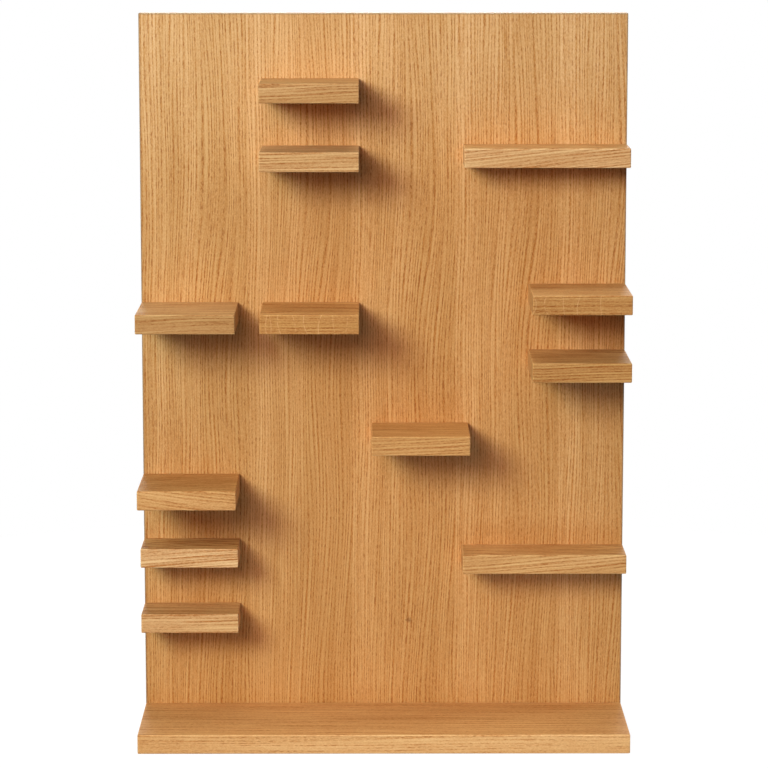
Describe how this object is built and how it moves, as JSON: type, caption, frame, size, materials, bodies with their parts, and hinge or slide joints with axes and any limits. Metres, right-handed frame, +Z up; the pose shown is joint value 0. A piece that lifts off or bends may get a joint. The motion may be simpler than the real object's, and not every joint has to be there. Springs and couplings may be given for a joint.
{
  "type": "wall shelf",
  "caption": "Upright oak wall panel carrying small oak shelves of unlike widths and depths above a full-width ledge, hung on keyhole plates let into its back.",
  "frame": {"origin": "on the panel's back face, where it meets the wall, halfway across the panel and halfway up", "axes": "+Z up; the shelves stand out to -Y and the back faces the wall at +Y; +X is to the right of someone who looks at the front"},
  "size_m": [0.404, 0.12, 0.6],
  "materials": {
    "panel_oak": "slip-matched oak veneer, grain upright, clear matt oil",
    "shelf_oak": "solid oak, grain along each board, edges eased, clear matt oil",
    "zinc_plated_steel": "bright zinc plating",
    "plate_steel": "stamped steel, satin zinc plating"
  },
  "bodies": {
    "root": {"back_panel": "panel_oak", "bottom_ledge": "shelf_oak", "long_shelf_upper": "shelf_oak", "long_shelf_lower": "shelf_oak", "left_shelf_1": "shelf_oak", "left_shelf_2": "shelf_oak", "left_shelf_3": "shelf_oak", "left_shelf_4": "shelf_oak", "inner_shelf_1": "shelf_oak", "inner_shelf_2": "shelf_oak", "inner_shelf_3": "shelf_oak", "centre_shelf": "shelf_oak", "right_shelf_1": "shelf_oak", "right_shelf_2": "shelf_oak", "bottom_ledge_screw_1": "zinc_plated_steel", "bottom_ledge_screw_2": "zinc_plated_steel", "bottom_ledge_screw_3": "zinc_plated_steel", "bottom_ledge_screw_4": "zinc_plated_steel", "bottom_ledge_screw_5": "zinc_plated_steel", "long_shelf_upper_screw_1": "zinc_plated_steel", "long_shelf_upper_screw_2": "zinc_plated_steel", "long_shelf_upper_screw_3": "zinc_plated_steel", "long_shelf_lower_screw_1": "zinc_plated_steel", "long_shelf_lower_screw_2": "zinc_plated_steel", "long_shelf_lower_screw_3": "zinc_plated_steel", "left_shelf_1_screw_1": "zinc_plated_steel", "left_shelf_1_screw_2": "zinc_plated_steel", "left_shelf_2_screw_1": "zinc_plated_steel", "left_shelf_2_screw_2": "zinc_plated_steel", "left_shelf_3_screw_1": "zinc_plated_steel", "left_shelf_3_screw_2": "zinc_plated_steel", "left_shelf_4_screw_1": "zinc_plated_steel", "left_shelf_4_screw_2": "zinc_plated_steel", "inner_shelf_1_screw_1": "zinc_plated_steel", "inner_shelf_1_screw_2": "zinc_plated_steel", "inner_shelf_2_screw_1": "zinc_plated_steel", "inner_shelf_2_screw_2": "zinc_plated_steel", "inner_shelf_3_screw_1": "zinc_plated_steel", "inner_shelf_3_screw_2": "zinc_plated_steel", "centre_shelf_screw_1": "zinc_plated_steel", "centre_shelf_screw_2": "zinc_plated_steel", "right_shelf_1_screw_1": "zinc_plated_steel", "right_shelf_1_screw_2": "zinc_plated_steel", "right_shelf_2_screw_1": "zinc_plated_steel", "right_shelf_2_screw_2": "zinc_plated_steel", "hanger_plate_left": "plate_steel", "hanger_plate_right": "plate_steel", "hanger_plate_left_screw_upper": "zinc_plated_steel", "hanger_plate_left_screw_lower": "zinc_plated_steel", "hanger_plate_right_screw_upper": "zinc_plated_steel", "hanger_plate_right_screw_lower": "zinc_plated_steel"}
  },
  "joints": []
}
